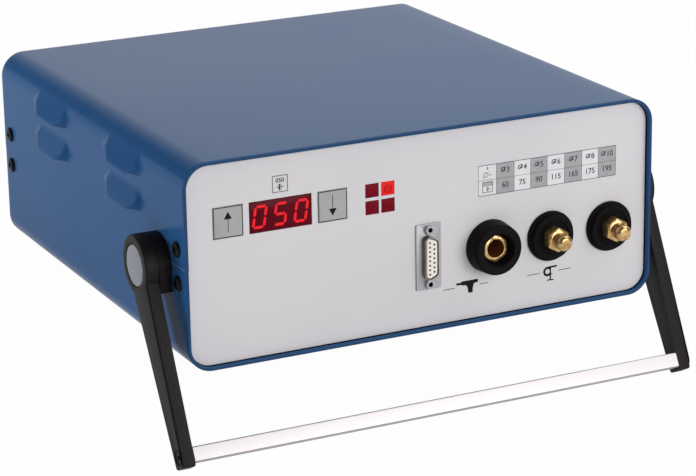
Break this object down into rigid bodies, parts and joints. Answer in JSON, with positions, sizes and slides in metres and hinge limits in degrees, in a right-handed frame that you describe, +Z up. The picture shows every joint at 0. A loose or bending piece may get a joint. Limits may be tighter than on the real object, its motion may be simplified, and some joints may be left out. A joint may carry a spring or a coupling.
{
  "type": "stud welder",
  "caption": "Bench stud-welding power source: bent sheet case with a front control panel, weld terminals, side louvres and a carry handle that swings down to prop up the front.",
  "frame": {"origin": "middle of the bounding box's bottom face, on the floor it stands on", "axes": "+X to the operator's right, -Y towards the operator, +Z up; the case is tipped back on its handle and rear feet"},
  "size_m": [0.3366, 0.3454, 0.169],
  "materials": {
    "case_paint": "satin",
    "panel_print": "satin",
    "plate_alu": "satin",
    "bar_alu": "satin",
    "black_steel": "satin",
    "zinc": "satin",
    "steel": "satin",
    "rubber": "matte",
    "black_plastic": "matte",
    "button_grey": "matte",
    "key_grey": "satin",
    "window_red": "gloss",
    "lamp_red": "gloss",
    "board_green": "satin",
    "insulator_white": "satin",
    "brass": "satin",
    "copper": "satin",
    "resistor_shell": "satin",
    "capacitor_sleeve": "satin"
  },
  "bodies": {
    "case": {"upper_shell": "case_paint", "lower_shell": "case_paint", "front_plate": "plate_alu", "front_foil": "panel_print", "rear_panel": "case_paint", "front_brackets": "zinc", "rear_brackets": "zinc", "case_screws": "black_steel", "panel_nuts": "zinc", "rubber_feet": "rubber", "foot_screws": "steel", "hub_base_left": "black_plastic", "hub_base_right": "black_plastic", "base_screws": "steel", "backing_plates": "zinc", "pivot_bolts": "zinc", "display_window": "window_red", "digit_display": "lamp_red", "indicator_lenses": "lamp_red", "indicator_leds": "lamp_red", "display_board": "board_green", "key_switches": "black_plastic", "board_standoffs": "zinc", "dsub_shell": "zinc", "dsub_insulator": "insulator_white", "dsub_jackscrews": "zinc", "gun_socket_collar": "black_plastic", "gun_socket_insert": "brass", "ground_collar_left": "black_plastic", "ground_collar_right": "black_plastic", "ground_pin_left": "brass", "ground_pin_right": "brass", "terminal_nuts": "zinc", "mains_inlet": "black_plastic", "inlet_pins": "zinc", "mains_switch": "black_plastic", "chassis_tray": "zinc", "transformer_core": "steel", "transformer_winding": "copper", "transformer_feet": "zinc", "capacitors": "capacitor_sleeve", "capacitor_holder": "black_plastic", "busbars": "copper", "busbar_screws": "steel", "weld_links": "copper", "heatsink": "plate_alu", "thyristor_module": "black_plastic", "control_board": "board_green", "discharge_resistor": "resistor_shell"},
    "handle": {"handle_arm_left": "black_plastic", "handle_arm_right": "black_plastic", "handle_bar": "bar_alu", "bar_screws": "steel", "button_spring_left": "steel", "button_spring_right": "steel"},
    "release_left": {"release_button_left": "button_grey"},
    "release_right": {"release_button_right": "button_grey"},
    "key_up": {"up_key": "key_grey"},
    "key_down": {"down_key": "key_grey"},
    "rocker": {"mains_rocker": "black_plastic"}
  },
  "joints": [
    {"name": "handle_swing", "type": "hinge", "parent": "case", "child": "handle", "pos_m": [0, -0.09794, 0.09836], "axis": [-1, 0, 0], "range_deg": [-78, 188]},
    {"name": "release_left_press", "type": "slide", "parent": "handle", "child": "release_left", "axis": [1, 0, 0], "range_m": [0, 0.0025], "stiffness_N_per_m": 1500, "springref_m": -0.002, "deforming": ["button_spring_left"]},
    {"name": "release_right_press", "type": "slide", "parent": "handle", "child": "release_right", "axis": [-1, 0, 0], "range_m": [0, 0.0025], "stiffness_N_per_m": 1500, "springref_m": -0.002, "deforming": ["button_spring_right"]},
    {"name": "up_key_press", "type": "slide", "parent": "case", "child": "key_up", "axis": [0, 0.9903, -0.1393], "range_m": [0, 0.0004], "stiffness_N_per_m": 3000, "springref_m": -0.0003},
    {"name": "down_key_press", "type": "slide", "parent": "case", "child": "key_down", "axis": [0, 0.9903, -0.1393], "range_m": [0, 0.0004], "stiffness_N_per_m": 3000, "springref_m": -0.0003},
    {"name": "mains_rocker_flip", "type": "hinge", "parent": "case", "child": "rocker", "pos_m": [-0.052, 0.15821, 0.04922], "axis": [1, 0, 0], "range_deg": [0, 20]}
  ]
}
